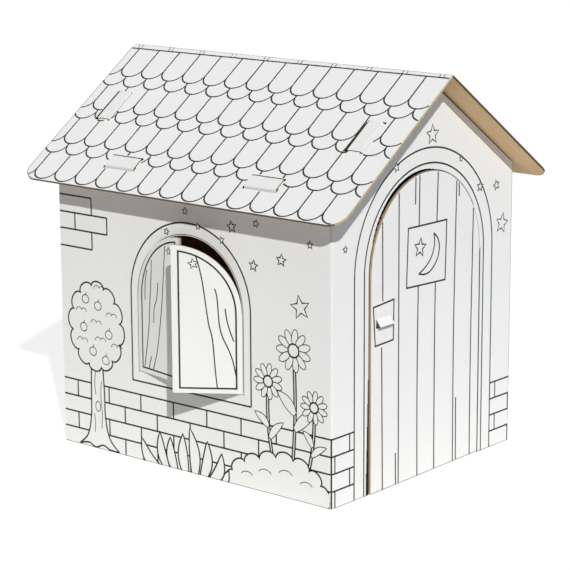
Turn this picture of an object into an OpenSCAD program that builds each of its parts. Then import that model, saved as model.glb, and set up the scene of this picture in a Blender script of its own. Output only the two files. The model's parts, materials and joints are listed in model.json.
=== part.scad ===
// Cardboard playhouse, folded from three sheets of corrugated card.
// +Z up, origin on the floor at the middle of the footprint.
// The front gable with the door faces -Y, the long wall with the window faces -X.

/* [House] */
// Outside width across the gables
house_w = 760; // [640:5:960]
// Outside length along the ridge
house_l = 930; // [800:5:1200]
// Height of the long walls
wall_h = 767; // [680:1:900]
// Thickness of the corrugated card
card_t = 6.5; // [4:0.5:8]
// Width of the glue lap inside each lapped corner
lap_w = 45; // [25:1:70]
// Room for glue between a lap and the wall it is stuck to
lap_gap = 0.2; // [0:0.1:0.5]
// How far a lap stops below the top of its wall
lap_drop = 15; // [10:1:40]

/* [Roof] */
// Pitch of both slopes, in degrees
roof_pitch = 35; // [28:0.5:40]
// How far the roof passes the long walls, level
eave_overhang = 62; // [30:1:90]
// How far the roof passes the gables
gable_overhang = 77; // [40:1:110]
// Radius of the rounded corners at the eaves
eave_corner_r = 45; // [20:1:60]
// Gap between the roof and the long walls that it sits on
seat_gap = 0.3; // [0.2:0.1:0.6]
// Gap between the roof and the gable at its lower corners
gable_corner_gap = 3; // [2:0.5:8]
// Gap between the ridge and the gable's peak
gable_peak_gap = 8; // [4:0.5:16]

/* [Roof tabs] */
// Thickness of a roof tab, where its card is pressed flat
tab_t = 3; // [2:0.5:4]
// Width of a tab on a long wall
eave_tab_w = 102; // [60:1:120]
// Distance of an eave tab from the middle of its wall
eave_tab_pos = 240; // [150:1:280]
// How far an eave tab lies up the roof before it tucks in
eave_tab_reach = 42; // [30:1:60]
// Width of a tab on a gable, along the slope
gable_tab_w = 106; // [60:1:120]
// Distance of a gable tab from the ridge, down the slope
gable_tab_pos = 242; // [200:1:260]
// How far from its gable a gable tab tucks in
gable_tab_reach = 57; // [45:1:90]
// How far a gable tab leans in before it folds over the roof
gable_tab_lean = 18; // [0:1:24]
// How far a tucked end passes below the roof
tuck_len = 12; // [6:1:20]
// Gap between a tab and the roof that it lies on
tab_lift = 0.3; // [0.2:0.1:1]
// Outside radius where a tab folds over the roof
tab_fold_r = 1.5; // [1:0.5:2.5]
// Room round a tab in its slot
slot_clear = 1.2; // [0.6:0.1:2]
// How much longer a slot is than its tab, at each end
slot_spare = 4; // [1:0.5:8]
// How much wider than its tab the slit for an eave tab's end is
eave_slit_open = 3; // [0:0.5:6]
// The same for the slits at the front gable, at their upper and at their lower ends
slit_open_top = 2.5; // [0:0.5:6]
slit_open_foot = 8; // [0:0.5:12]

/* [Door] */
// Width of the doorway
door_w = 470; // [380:5:520]
// Height at which the doorway's arch begins
door_spring_h = 558; // [500:2:580]
// Kerf between the door and the arch
door_kerf = 1.5; // [1:0.1:3]
// Gap between the door and the floor
door_floor_gap = 2; // [1:0.5:6]
// How far the door stands ajar, in degrees
door_ajar = 0.9; // [0:0.1:10]
// Width of the pull tab
pull_w = 58; // [40:1:90]
// Length of the pull tab below its crease
pull_l = 23; // [15:1:45]
// Distance of the pull tab's middle from the door's free edge
pull_inset = 52; // [45:1:110]
// Height of the pull tab's crease
pull_h = 451; // [300:1:520]
// How far the pull tab is bent outward, in degrees
pull_bend = 34; // [10:1:60]

/* [Window] */
// Width of the window opening
window_w = 358; // [260:2:420]
// Height of the window's sill
sill_h = 243; // [180:1:280]
// Height at which the window's arch begins
window_spring_h = 448; // [380:1:460]
// Kerf round the shutters
shutter_kerf = 1.5; // [1:0.1:3]
// How far the left shutter stands open, in degrees
left_shutter_open = 10; // [0:1:90]
// How far the right shutter stands open, in degrees
right_shutter_open = 35; // [0:1:90]

/* [Creases] */
// Gap between a flap and its wall along the crease
crease_gap = 0.3; // [0.2:0.1:0.6]
// Depth of the scored groove along a flap's crease
crease_d = 1.2; // [0.5:0.1:1.4]
// How far a groove stops short of the cuts at its ends
crease_stop = 4; // [2:0.5:10]

/* [Hidden] */
$fn = 96;
outside = "whitesmoke";

half_w = house_w / 2;
half_l = house_l / 2;
// Straight steps in each small bend
bend_steps = 6;
// Overlap that joins two shapes of one sheet, and the same as a turn at the ridge, in degrees
weld = 1;
weld_turn = 10;
// Depth of a tab's root in its panel, below the roof, and where a gable tab begins to lean
root_depth = 20;
lean_depth = 10;

// Roof: its underside meets the walls' outer faces a seat gap above them
ridge_z = wall_h + seat_gap + half_w * tan(roof_pitch);
slope_l = (half_w + eave_overhang) / cos(roof_pitch);
roof_l = house_l + 2 * gable_overhang;
// Underside of a tab that lies on the roof, above the roof's own underside
tab_z = card_t + tab_lift;
// Where the wall's outer and inner faces cross the slope, along the roof's underside and outer face
wall_out_x = half_w / cos(roof_pitch);
wall_in_x = (half_w - card_t - card_t * sin(roof_pitch)) / cos(roof_pitch);
eave_tuck_x = wall_out_x - eave_tab_reach;
gable_tuck_y = half_l - gable_tab_reach;
// A gable tab's lean, and where its outer and inner faces leave the roof's underside and outer face
lean = atan(gable_tab_lean / (lean_depth + tab_z + tab_t));
rise_out_y = half_l - lean_depth * tan(lean);
rise_in_y = half_l - (lean_depth + card_t) * tan(lean) - tab_t / cos(lean);

// Lapped corners: a lap's outer face lies a glue gap inside the other sheet's inner face
lap_out_x = half_w - card_t - lap_gap;
lap_in_x = lap_out_x - card_t;
lap_in_y = half_l - 2 * card_t - lap_gap;
lap_h = wall_h - lap_drop;
gable_corner_z = wall_h - gable_corner_gap;
gable_peak_z = ridge_z - gable_peak_gap;

door_r = door_w / 2;
door_hinge = [door_r - crease_gap, -half_l];
window_r = window_w / 2;
shutter_hinge_y = window_r - crease_gap;
pull_x = -door_r + pull_inset;

// Point at distance r from the origin, at angle a
function polar(r, a) = r * [cos(a), sin(a)];

// Points of an arc of radius r about c, from angle a0 to a1
function arc(c, r, a0, a1) =
    [for (i = [0 : bend_steps]) c + polar(r, a0 + (a1 - a0) * i / bend_steps)];

// Round-headed outline: straight sides from the base up to the spring line, then a half circle
module arch(r, base, spring) {
    translate([-r, base]) square([2 * r, spring - base]);
    translate([0, spring]) circle(r);
}

// Outer quarter of a fold about an inner crease at the origin, bulging to -X -Y
module fold_quarter() {
    intersection() {
        circle(card_t);
        translate([-card_t, -card_t]) square(card_t);
    }
}

// Stands an XZ outline upright, depth deep towards +Y from y = 0
module upright_xz(depth) {
    translate([0, depth, 0]) rotate([90, 0, 0]) linear_extrude(depth) children();
}

// Stands a YZ outline upright, depth deep towards +X from x = 0
module upright_yz(depth) {
    rotate([90, 0, 90]) linear_extrude(depth) children();
}

// Frame of the right-hand slope: X down the slope from the ridge's inner crease, Z out of the roof
module on_slope() {
    translate([0, 0, ridge_z]) rotate([0, roof_pitch, 0]) children();
}

// Eave tab, as a section across the right-hand wall in XZ: up through the roof, folded over it, tucked in
module eave_tab_section() {
    p = roof_pitch;
    down = [cos(p), -sin(p)];
    out = [sin(p), cos(p)];
    root_z = wall_h - root_depth;
    crease_z = ridge_z + tab_z / cos(p) - (half_w - card_t) * tan(p);
    crease = [half_w - card_t, crease_z];
    corner = [half_w, ridge_z + (tab_z + tab_t) / cos(p) - half_w * tan(p)];
    bend = corner - tab_fold_r * ([1, 0] + out) / (1 + sin(p));
    tuck = [0, ridge_z] + eave_tuck_x * down + tab_z * out;
    tuck_end = tuck - (tab_z + tuck_len) * out;
    polygon(concat(
        [[half_w - card_t, root_z], [half_w, root_z]],
        arc(bend, tab_fold_r, 0, 90 - p),
        arc(tuck, tab_t, 90 - p, 180 - p),
        [tuck_end - tab_t * down, tuck_end, tuck, crease]));
}

// Gable tab of the front gable, as a section in the slope's YZ: leaning in through the roof, folded over
// it, tucked in
module gable_tab_section() {
    inner_y = -half_l + tab_t / cos(lean);
    crease = [inner_y + (lean_depth + tab_z) * tan(lean), tab_z];
    corner = [-half_l + gable_tab_lean, tab_z + tab_t];
    bend = corner - tab_fold_r * (polar(1, 180 - lean) + [0, 1]) / (1 + sin(lean));
    tuck = [-gable_tuck_y, tab_z];
    polygon(concat(
        [[-half_l + card_t, -root_depth], [-half_l, -root_depth], [-half_l, -lean_depth]],
        arc(bend, tab_fold_r, 180 - lean, 90),
        arc(tuck, tab_t, 90, 0),
        [[-gable_tuck_y + tab_t, -tuck_len], [-gable_tuck_y, -tuck_len], tuck, crease],
        [[inner_y, -lean_depth], [-half_l + card_t, -lean_depth]]));
}

module eave_tabs() {
    for (y = [-eave_tab_pos, eave_tab_pos])
        mirror([1, 0, 0])
            translate([0, y - eave_tab_w / 2, 0])
                upright_xz(eave_tab_w) eave_tab_section();
}

module gable_tabs() {
    for (side = [0, 1])
        mirror([side, 0, 0])
            on_slope()
                translate([gable_tab_pos - gable_tab_w / 2, 0, 0])
                    upright_yz(gable_tab_w) gable_tab_section();
}

// Front gable's outline
module gable_outline() {
    polygon([[-half_w, 0], [half_w, 0], [half_w, gable_corner_z], [0, gable_peak_z],
             [-half_w, gable_corner_z]]);
}

// Plan of a long wall up to wall_end, the fold at the near corner and a gable up to gable_end
module corner_plan(wall_end, gable_end) {
    inner_y = -half_l + card_t;
    translate([-half_w, inner_y]) square([card_t, wall_end - inner_y]);
    translate([-half_w + card_t, inner_y]) fold_quarter();
    translate([-half_w + card_t, -half_l]) square([gable_end + half_w - card_t, card_t]);
}

// Plan of the front sheet: both of its ends run out plain, over the back sheet's laps
module front_plan() {
    corner_plan(half_l, half_w);
}

// Plan of the back sheet, before it is turned half round: both of its ends fold into glue laps
module back_plan() {
    corner_plan(lap_in_y, lap_in_x);
    translate([-half_w + card_t, lap_in_y]) {
        mirror([0, 1]) fold_quarter();
        square([lap_w - card_t, card_t]);
    }
    translate([lap_in_x, -half_l + card_t]) {
        mirror([1, 0]) fold_quarter();
        square([card_t, lap_w - card_t]);
    }
}

// Where a wall sheet stops: the gable's outline, and the tops of the long wall and the laps
module wall_sheet_heights() {
    inner_y = -half_l + card_t;
    translate([0, -half_l, 0]) upright_xz(card_t) gable_outline();
    translate([-half_w, inner_y - weld, 0]) cube([card_t, house_l, wall_h]);
    translate([lap_in_x, inner_y - weld, 0]) cube([card_t, lap_w, lap_h]);
    translate([-half_w + card_t - weld, lap_in_y, 0]) cube([lap_w, card_t, lap_h]);
}

// One wall sheet of the given plan, uncut, with its four roof tabs
module wall_sheet() {
    intersection() {
        linear_extrude(gable_peak_z) children();
        wall_sheet_heights();
    }
    eave_tabs();
    gable_tabs();
}

// Scored groove along a vertical crease, from height low to height high
module score(low, high) {
    translate([0, 0, low])
        linear_extrude(high - low) rotate(45) square(crease_d * sqrt(2), center = true);
}

// The door's groove runs out at the floor
module door_score() {
    translate(door_hinge) score(-weld, door_spring_h - crease_stop);
}

// Groove of the shutter on the +Y side
module shutter_score() {
    translate([-half_w, shutter_hinge_y, 0])
        score(sill_h + shutter_kerf + crease_stop, window_spring_h - crease_stop);
}

module front_left_wall_sheet() {
    color(outside) difference() {
        wall_sheet() front_plan();
        translate([0, -half_l - weld, 0])
            upright_xz(card_t + 2 * weld) arch(door_r, -weld, door_spring_h);
        translate([-half_w - weld, 0, 0])
            upright_yz(card_t + 2 * weld) arch(window_r, sill_h, window_spring_h);
        door_score();
        for (side = [0, 1])
            mirror([0, side, 0]) shutter_score();
    }
}

module back_right_wall_sheet() {
    color(outside) rotate(180) wall_sheet() back_plan();
}

// Outline of one slope, X down the slope, with its eave corners rounded
module slope_outline() {
    straight = roof_l - 2 * eave_corner_r;
    translate([0, -roof_l / 2]) square([slope_l - eave_corner_r, roof_l]);
    translate([0, -straight / 2]) square([slope_l, straight]);
    for (side = [-1, 1])
        translate([slope_l - eave_corner_r, side * straight / 2]) circle(eave_corner_r);
}

// Slots of one slope: where each tab comes up, and where its end tucks in
module slope_slots() {
    eave_len = eave_tab_w + 2 * slot_spare;
    gable_len = gable_tab_w + 2 * slot_spare;
    slit = tab_t + 2 * slot_clear;
    rise = wall_out_x - wall_in_x + 2 * slot_clear;
    for (y = [-eave_tab_pos, eave_tab_pos])
        translate([0, y - eave_len / 2]) {
            translate([wall_in_x - slot_clear, 0]) square([rise, eave_len]);
            translate([eave_tuck_x - tab_t - slot_clear - eave_slit_open, 0])
                square([slit + eave_slit_open, eave_len]);
        }
    for (side = [0, 1])
        mirror([0, side])
            translate([gable_tab_pos - gable_len / 2, 0]) {
                front = 1 - side;
                translate([0, -rise_out_y - slot_clear])
                    square([gable_len, rise_out_y - rise_in_y + 2 * slot_clear]);
                translate([0, -gable_tuck_y - slot_clear])
                    polygon([[0, 0], [gable_len, 0], [gable_len, slit + front * slit_open_foot],
                             [0, slit + front * slit_open_top]]);
            }
}

module slope() {
    on_slope() linear_extrude(card_t) difference() {
        slope_outline();
        slope_slots();
    }
}

// Outside of the ridge's fold, about its inner crease, reaching a little into both slopes
module ridge_fold() {
    right = 90 - roof_pitch;
    left = 90 + roof_pitch;
    translate([0, -roof_l / 2, ridge_z])
        upright_xz(roof_l)
            polygon(concat([[0, 0], polar(card_t, right - weld_turn)],
                           arc([0, 0], card_t, right, left),
                           [polar(card_t, left + weld_turn)]));
}

module roof_sheet() {
    color(outside) {
        slope();
        mirror([1, 0, 0]) slope();
        ridge_fold();
    }
}

// Door leaf's outline, shut: kerf on the free side and the arch, crease on the right
module door_outline() {
    arch(door_r - door_kerf, door_floor_gap, door_spring_h);
    translate([0, door_floor_gap]) square([door_hinge[0], door_spring_h - door_floor_gap]);
}

// Pull tab in YZ: bends outward about a crease on the door's outer face
module pull_section() {
    crease = [-half_l, pull_h];
    along = [-sin(pull_bend), -cos(pull_bend)];
    inward = [cos(pull_bend), -sin(pull_bend)];
    tip = crease + pull_l * along;
    polygon(concat(
        [crease + [0, weld], crease + [card_t, weld]],
        arc(crease, card_t, 0, -pull_bend),
        [tip + card_t * inward, tip, crease]));
}

module door() {
    pull_hole = [pull_w + 2 * door_kerf, card_t + 2 * weld, pull_l + door_kerf];
    color(outside)
        translate(door_hinge) rotate(door_ajar) translate(-door_hinge)
            union() {
                difference() {
                    translate([0, -half_l, 0]) upright_xz(card_t) door_outline();
                    translate([pull_x - pull_hole[0] / 2, -half_l - weld, pull_h - pull_hole[2]])
                        cube(pull_hole);
                    door_score();
                }
                translate([pull_x - pull_w / 2, 0, 0]) upright_yz(pull_w) pull_section();
            }
}

// Shutter on the +Y side of the window, shut, with its crease at shutter_hinge_y
module shutter_leaf() {
    r = window_r - shutter_kerf;
    base = sill_h + shutter_kerf;
    difference() {
        translate([-half_w, 0, 0]) upright_yz(card_t) {
            intersection() {
                arch(r, base, window_spring_h);
                translate([shutter_kerf / 2, base]) square([r, r + window_spring_h - base]);
            }
            translate([shutter_kerf / 2, base])
                square([shutter_hinge_y - shutter_kerf / 2, window_spring_h - base]);
        }
        shutter_score();
    }
}

// Turns a shutter leaf outward about its crease
module shutter(open) {
    hinge = [-half_w, shutter_hinge_y];
    translate(hinge) rotate(-open) translate(-hinge) shutter_leaf();
}

module left_shutter() {
    color(outside) shutter(left_shutter_open);
}

module right_shutter() {
    color(outside) mirror([0, 1, 0]) shutter(right_shutter_open);
}

front_left_wall_sheet();
back_right_wall_sheet();
roof_sheet();
door();
left_shutter();
right_shutter();
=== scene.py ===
"""Looks of a folded cardboard playhouse: card liners, cut edges, printed line work, studio and camera."""

import json
import logging
import math
from dataclasses import dataclass, field, replace
from enum import Enum

import bmesh
import bpy
from mathutils import Matrix, Vector


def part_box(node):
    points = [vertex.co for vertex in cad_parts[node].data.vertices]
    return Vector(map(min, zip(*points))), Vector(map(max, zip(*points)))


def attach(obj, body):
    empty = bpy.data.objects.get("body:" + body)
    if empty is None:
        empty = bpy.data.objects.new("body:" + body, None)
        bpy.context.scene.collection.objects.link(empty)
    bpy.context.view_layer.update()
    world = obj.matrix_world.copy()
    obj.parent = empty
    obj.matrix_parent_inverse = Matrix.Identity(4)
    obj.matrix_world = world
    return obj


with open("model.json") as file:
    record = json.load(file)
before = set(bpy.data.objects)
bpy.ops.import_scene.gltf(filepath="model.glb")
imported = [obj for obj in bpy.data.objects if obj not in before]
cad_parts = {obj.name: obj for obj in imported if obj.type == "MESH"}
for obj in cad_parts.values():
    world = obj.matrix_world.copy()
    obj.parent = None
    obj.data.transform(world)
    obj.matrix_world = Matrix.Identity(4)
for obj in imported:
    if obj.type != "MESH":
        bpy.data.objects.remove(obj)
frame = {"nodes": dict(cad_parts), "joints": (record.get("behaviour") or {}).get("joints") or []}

log = logging.getLogger("playhouse")

MM = 0.001
WHITE = (1.0, 1.0, 1.0, 1.0)
Point = tuple[float, float]
Path = list[Point]
Triple = tuple[float, float, float]
Colour = Triple
Box = tuple[float, float, float, float]
Socket = bpy.types.NodeSocket
Material = bpy.types.Material


class Body(Enum):
    """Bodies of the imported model."""

    HOUSE = "house"
    DOOR = "door"
    LEFT_SHUTTER = "left_shutter"
    RIGHT_SHUTTER = "right_shutter"


class Slot(Enum):
    """Material slots of the record."""

    WALL = "wall_card"
    ROOF = "roof_card"
    FLAP = "flap_card"


class Skin(Enum):
    """Which side or edge of the card a face belongs to."""

    OUTSIDE = 0
    INSIDE = 1
    FIRST_EDGE = 2
    SECOND_EDGE = 3
    # Near-black cut faces in the roof's slots and round the doorway: painted shade.
    SHADED_EDGE = 4
    # Eave cut faces, darker towards the underside: partly flutes, partly painted shade.
    EAVE = 5
    # Darker liner on tab faces that lean towards a gable: painted shade.
    SHADED_TAB = 6


@dataclass(frozen=True)
class HouseSizes:
    """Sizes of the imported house, in millimetres."""

    half_w: float
    half_l: float
    ridge_z: float
    roof_half_l: float
    roof_half_w: float
    card_t: float = 6.5
    pitch: float = math.radians(35)

    @classmethod
    def measured(cls) -> "HouseSizes":
        """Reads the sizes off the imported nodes.

        Returns:
            The sizes of the house as it was packed.
        """
        wall_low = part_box("front_left_wall_sheet")[0]
        roof_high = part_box("roof_sheet")[1]
        return cls(
            half_w=-wall_low.x / MM,
            half_l=-wall_low.y / MM,
            ridge_z=roof_high.z / MM - cls.card_t,
            roof_half_l=roof_high.y / MM,
            roof_half_w=roof_high.x / MM,
        )

    @property
    def apex_z(self) -> float:
        """Height at which the two outer faces of the roof would meet."""
        return self.ridge_z + self.card_t / math.cos(self.pitch)

    @property
    def eave_v(self) -> float:
        """Distance from that apex down the slope to the eave."""
        return self.roof_half_w / math.cos(self.pitch)

    def above_roof(self, point: Vector) -> float:
        """Distance of a point in millimetres above the underside of the roof, square to the slope."""
        return abs(point.x) * math.sin(self.pitch) + (point.z - self.ridge_z) * math.cos(self.pitch)


class NodeSheet:
    """Nodes of one material, or of the world, added and joined by name."""

    def __init__(self, owner: bpy.types.ID) -> None:
        """Clears the owner's node tree.

        Args:
            owner: Material or world whose nodes are made.
        """
        owner.use_nodes = True
        self.tree = owner.node_tree
        self.tree.nodes.clear()

    def add(self, kind: str, inputs: dict | None = None, **settings: object) -> bpy.types.Node:
        """Adds a node, sets its options and fills its sockets.

        Args:
            kind: Type of the node, without the leading ShaderNode.
            inputs: Value or source socket for each input, by name or number.
            settings: Options of the node itself.

        Returns:
            The new node.
        """
        node = self.tree.nodes.new("ShaderNode" + kind)
        for key, value in settings.items():
            setattr(node, key, value)
        for key, value in (inputs or {}).items():
            if isinstance(value, Socket):
                self.tree.links.new(value, node.inputs[key])
            else:
                node.inputs[key].default_value = value
        return node

    def math(self, operation: str, first: object, second: object = 0.0, third: object = 0.0) -> Socket:
        """Adds a Math node of up to three values or sockets."""
        return self.add("Math", {0: first, 1: second, 2: third}, operation=operation).outputs[0]

    def object_point(self) -> Socket:
        """Adds the place of a point on the object, in metres."""
        return self.add("TexCoord").outputs["Object"]

    def along(self, point: Socket, axis: Vector) -> Socket:
        """Measures how far a point lies along an axis."""
        return self.add("VectorMath", {0: point, 1: tuple(axis)}, operation="DOT_PRODUCT").outputs["Value"]

    def noise(self, point: Socket, scale: float, detail: float) -> Socket:
        """Adds a noise texture of a scale per metre, with a number of finer octaves."""
        return self.add("TexNoise", {"Vector": point, "Scale": scale, "Detail": detail}).outputs[0]

    def stretched(self, point: Socket, scale: Triple) -> Socket:
        """Scales a point by a factor for each axis."""
        return self.add("Mapping", {"Vector": point, "Scale": scale}).outputs[0]

    def blend(self, factor: Socket, low: Colour, high: Colour) -> Socket:
        """Blends two colours.

        Args:
            factor: Socket from 0 to 1.
            low: Colour at 0.
            high: Colour at 1.

        Returns:
            The blended colour.
        """
        ramp = self.add("ValToRGB", {0: factor})
        ramp.color_ramp.elements[0].color = (*low, 1.0)
        ramp.color_ramp.elements[1].color = (*high, 1.0)
        return ramp.outputs[0]

    def surface(self, colour: Socket, height: Socket, depth: float, roughness: object,
                gloss: float = 0.2) -> None:
        """Ends a material with a matt shader.

        Args:
            colour: Colour of the surface.
            height: Relief, from 0 to 1.
            depth: Depth of the relief, in metres.
            roughness: Roughness of the surface.
            gloss: Strength of its gloss.
        """
        bump = self.add("Bump", {"Height": height, "Distance": depth, "Strength": 1.0})
        shader = self.add("BsdfPrincipled", {
            "Base Color": colour,
            "Roughness": roughness,
            "Normal": bump.outputs[0],
            "Specular IOR Level": gloss,
        })
        self.add("OutputMaterial", {"Surface": shader.outputs[0]})


@dataclass(frozen=True)
class Finish:
    """Finish of a surface, made as a procedural material."""

    name: str

    def paint(self, nodes: NodeSheet, point: Socket) -> None:
        """Adds the nodes of the finish, which read a point on the object."""
        raise NotImplementedError

    def material(self) -> Material:
        """Makes the finish's material.

        Returns:
            The new material.
        """
        made = bpy.data.materials.new(self.name)
        nodes = NodeSheet(made)
        self.paint(nodes, nodes.object_point())
        return made


@dataclass(frozen=True)
class Liner(Finish):
    """White paper liner on the outside of the card, with the flutes just showing through."""

    flute_axis: Vector
    shade: Colour = (0.80, 0.80, 0.79)
    light: Colour = (0.87, 0.87, 0.86)
    flute_pitch: float = 8.0 * MM
    cloud_scale: float = 7.0
    fibre_scale: float = 420.0
    relief: float = 0.06 * MM

    def paint(self, nodes: NodeSheet, point: Socket) -> None:
        """Adds the paper's clouds and fibres, and the flutes under it.

        Args:
            nodes: Nodes of the material.
            point: Place of a point on the object, in metres.
        """
        cloudy = nodes.noise(point, self.cloud_scale, 4.0)
        fibres = nodes.noise(point, self.fibre_scale, 3.0)
        turn = nodes.math("MULTIPLY", nodes.along(point, self.flute_axis), math.tau / self.flute_pitch)
        flutes = nodes.math("MULTIPLY_ADD", nodes.math("SINE", turn), 0.5, 0.5)
        tone = nodes.math("MULTIPLY_ADD", flutes, 0.10, nodes.math("MULTIPLY_ADD", fibres, 0.35, 0.10))
        colour = nodes.blend(nodes.math("MULTIPLY_ADD", cloudy, 0.6, tone), self.shade, self.light)
        height = nodes.math("MULTIPLY_ADD", fibres, 0.25, nodes.math("MULTIPLY", flutes, 0.75))
        nodes.surface(colour, height, self.relief, nodes.math("MULTIPLY_ADD", fibres, 0.2, 0.5))


@dataclass(frozen=True)
class Kraft(Finish):
    """Brown paper liner on the inside of the card, with long fibres and flecks."""

    fibre_stretch: Triple
    shade: Colour = (0.595, 0.40, 0.215)
    light: Colour = (0.92, 0.675, 0.39)
    fibre_scale: float = 60.0
    cloud_scale: float = 5.0
    fleck_scale: float = 260.0
    relief: float = 0.08 * MM

    def paint(self, nodes: NodeSheet, point: Socket) -> None:
        """Adds the fibres, the clouds and the flecks of the paper.

        Args:
            nodes: Nodes of the material.
            point: Place of a point on the object, in metres.
        """
        fibres = nodes.noise(nodes.stretched(point, self.fibre_stretch), self.fibre_scale, 5.0)
        cloudy = nodes.noise(point, self.cloud_scale, 3.0)
        flecks = nodes.noise(point, self.fleck_scale, 1.0)
        tone = nodes.math("MULTIPLY_ADD", fibres, 0.45, nodes.math("MULTIPLY", cloudy, 0.40))
        colour = nodes.blend(nodes.math("MULTIPLY_ADD", flecks, 0.20, tone), self.shade, self.light)
        nodes.surface(colour, fibres, self.relief, nodes.math("MULTIPLY_ADD", flecks, 0.2, 0.6))


@dataclass(frozen=True)
class CutEdge(Finish):
    """Cut edge of double-wall board: three liners, with a fine and a coarse flute between them."""

    surface_point: Vector
    inward: Vector
    along: Vector
    card_t: float
    paper: Colour
    hollow: Colour
    fine_pitch: float = 6.5 * MM
    coarse_pitch: float = 8.0 * MM
    middle_liner: float = 0.42
    flute_swing: float = 0.42
    sheet_half: float = 0.07
    sharpness: float = 12.0
    raggedness: float = 0.06
    relief: float = 0.2 * MM

    def _wave(self, nodes: NodeSheet, along: Socket, pitch: float, low: float, high: float) -> Socket:
        """Depth of a fluted sheet between two liners.

        Args:
            nodes: Nodes of the material.
            along: Distance along the edge.
            pitch: Length of one flute.
            low: Depth of the outer liner, as a share of the card.
            high: Depth of the inner liner, as a share of the card.

        Returns:
            The flute's depth, as a share of the card.
        """
        wave = nodes.math("SINE", nodes.math("MULTIPLY", along, math.tau / pitch))
        return nodes.math("MULTIPLY_ADD", wave, self.flute_swing * (high - low), 0.5 * (low + high))

    def paint(self, nodes: NodeSheet, point: Socket) -> None:
        """Adds the paper of the liners and flutes, dark where the card is hollow between them.

        Args:
            nodes: Nodes of the material.
            point: Place of a point on the object, in metres.
        """
        start = self.inward.dot(self.surface_point)
        from_face = nodes.math("SUBTRACT", nodes.along(point, self.inward), start)
        depth = nodes.math("DIVIDE", from_face, self.card_t * MM)
        along = nodes.along(point, self.along)
        sheets = [
            0.0,
            self._wave(nodes, along, self.fine_pitch, 0.0, self.middle_liner),
            self.middle_liner,
            self._wave(nodes, along, self.coarse_pitch, self.middle_liner, 1.0),
            1.0,
        ]
        gap: object = 1.0
        for sheet in sheets:
            gap = nodes.math("MINIMUM", gap, nodes.math("ABSOLUTE", nodes.math("SUBTRACT", depth, sheet)))
        fibres = nodes.noise(point, 700.0, 2.0)
        ragged = nodes.math("MULTIPLY_ADD", nodes.math("SUBTRACT", fibres, 0.5), self.raggedness, gap)
        hollow = nodes.math("MULTIPLY", nodes.math("SUBTRACT", ragged, self.sheet_half), self.sharpness)
        colour = nodes.blend(hollow, self.paper, self.hollow)
        nodes.surface(colour, nodes.math("SUBTRACT", 1.0, ragged), self.relief, 0.8)


@dataclass(frozen=True)
class ShadedSlotEdge(Finish):
    """Cut edge in a slot or under the eaves: brown at its rim and darker further in, partly the open flutes
    and partly painted shade.
    """

    sizes: HouseSizes
    rim: Colour = (0.40, 0.29, 0.17)
    hollow: Colour = (0.035, 0.024, 0.014)
    rim_depth: float = 0.10
    sharpness: float = 5.0
    raggedness: float = 0.3
    relief: float = 0.2 * MM

    def paint(self, nodes: NodeSheet, point: Socket) -> None:
        """Adds the edge's colours, by how deep a point lies in the roof.

        Args:
            nodes: Nodes of the material.
            point: Place of a point on the object, in metres.
        """
        parts = nodes.add("SeparateXYZ", {0: point}).outputs
        wide = nodes.math("MULTIPLY", nodes.math("ABSOLUTE", parts[0]), math.sin(self.sizes.pitch))
        tall = nodes.math("SUBTRACT", parts[2], self.sizes.ridge_z * MM)
        height = nodes.math("MULTIPLY_ADD", tall, math.cos(self.sizes.pitch), wide)
        depth = nodes.math("SUBTRACT", 1.0, nodes.math("DIVIDE", height, self.sizes.card_t * MM))
        fibres = nodes.noise(point, 500.0, 2.0)
        inner = nodes.math("SUBTRACT", depth, self.rim_depth)
        ragged = nodes.math("MULTIPLY_ADD", fibres, self.raggedness, inner)
        colour = nodes.blend(nodes.math("MULTIPLY", ragged, self.sharpness), self.rim, self.hollow)
        nodes.surface(colour, fibres, self.relief, 0.8)


@dataclass(frozen=True)
class Ink(Finish):
    """Black printing ink, a little uneven where the paper takes it."""

    dense: Colour = (0.017, 0.018, 0.016)
    thin: Colour = (0.045, 0.047, 0.041)
    gloss: float = 0.2
    relief: float = 0.03 * MM

    def paint(self, nodes: NodeSheet, point: Socket) -> None:
        """Adds the ink's uneven black."""
        grain = nodes.noise(point, 300.0, 3.0)
        nodes.surface(nodes.blend(grain, self.dense, self.thin), grain, self.relief, 0.6, self.gloss)


def put(name: str, data: bpy.types.ID) -> bpy.types.Object:
    """Puts a mesh, a lamp or a camera in the scene.

    Args:
        name: Name of the new object.
        data: What the object shows.

    Returns:
        The new object.
    """
    made = bpy.data.objects.new(name, data)
    bpy.context.scene.collection.objects.link(made)
    return made


def put_mesh(name: str, bm: bmesh.types.BMesh, material: Material) -> bpy.types.Object:
    """Makes a finished bmesh a piece of the scene.

    Args:
        name: Name of the piece and of its mesh.
        bm: The bmesh, which is used up.
        material: The piece's material.

    Returns:
        The new piece.
    """
    mesh = bpy.data.meshes.new(name)
    bm.to_mesh(mesh)
    bm.free()
    mesh.materials.append(material)
    return put(name, mesh)


def ellipse(centre: Point, rx: float, ry: float, start: float, sweep: float, steps: int) -> Path:
    """Points of an elliptical arc.

    Args:
        centre: Middle of the ellipse.
        rx: Half of its width.
        ry: Half of its height.
        start: Angle of the first point, in degrees.
        sweep: Angle covered, in degrees.
        steps: Number of straight steps.

    Returns:
        The points, from start to end.
    """
    angles = [math.radians(start + sweep * i / steps) for i in range(steps + 1)]
    return [(centre[0] + rx * math.cos(a), centre[1] + ry * math.sin(a)) for a in angles]


def ring(centre: Point, rx: float, ry: float, steps: int = 18) -> Path:
    """Corners of a whole ellipse, each of them once."""
    return ellipse(centre, rx, ry, 0.0, 360.0, steps)[:-1]


def arch(radius: float, base: float, spring: float, steps: int = 56) -> Path:
    """Round-headed outline about the middle of a panel.

    Args:
        radius: Radius of its head.
        base: Height of its feet.
        spring: Height at which the head begins.
        steps: Straight steps of the head.

    Returns:
        The points, from the right foot over the head to the left foot.
    """
    return [(radius, base), *ellipse((0.0, spring), radius, radius, 0.0, 180.0, steps), (-radius, base)]


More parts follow.
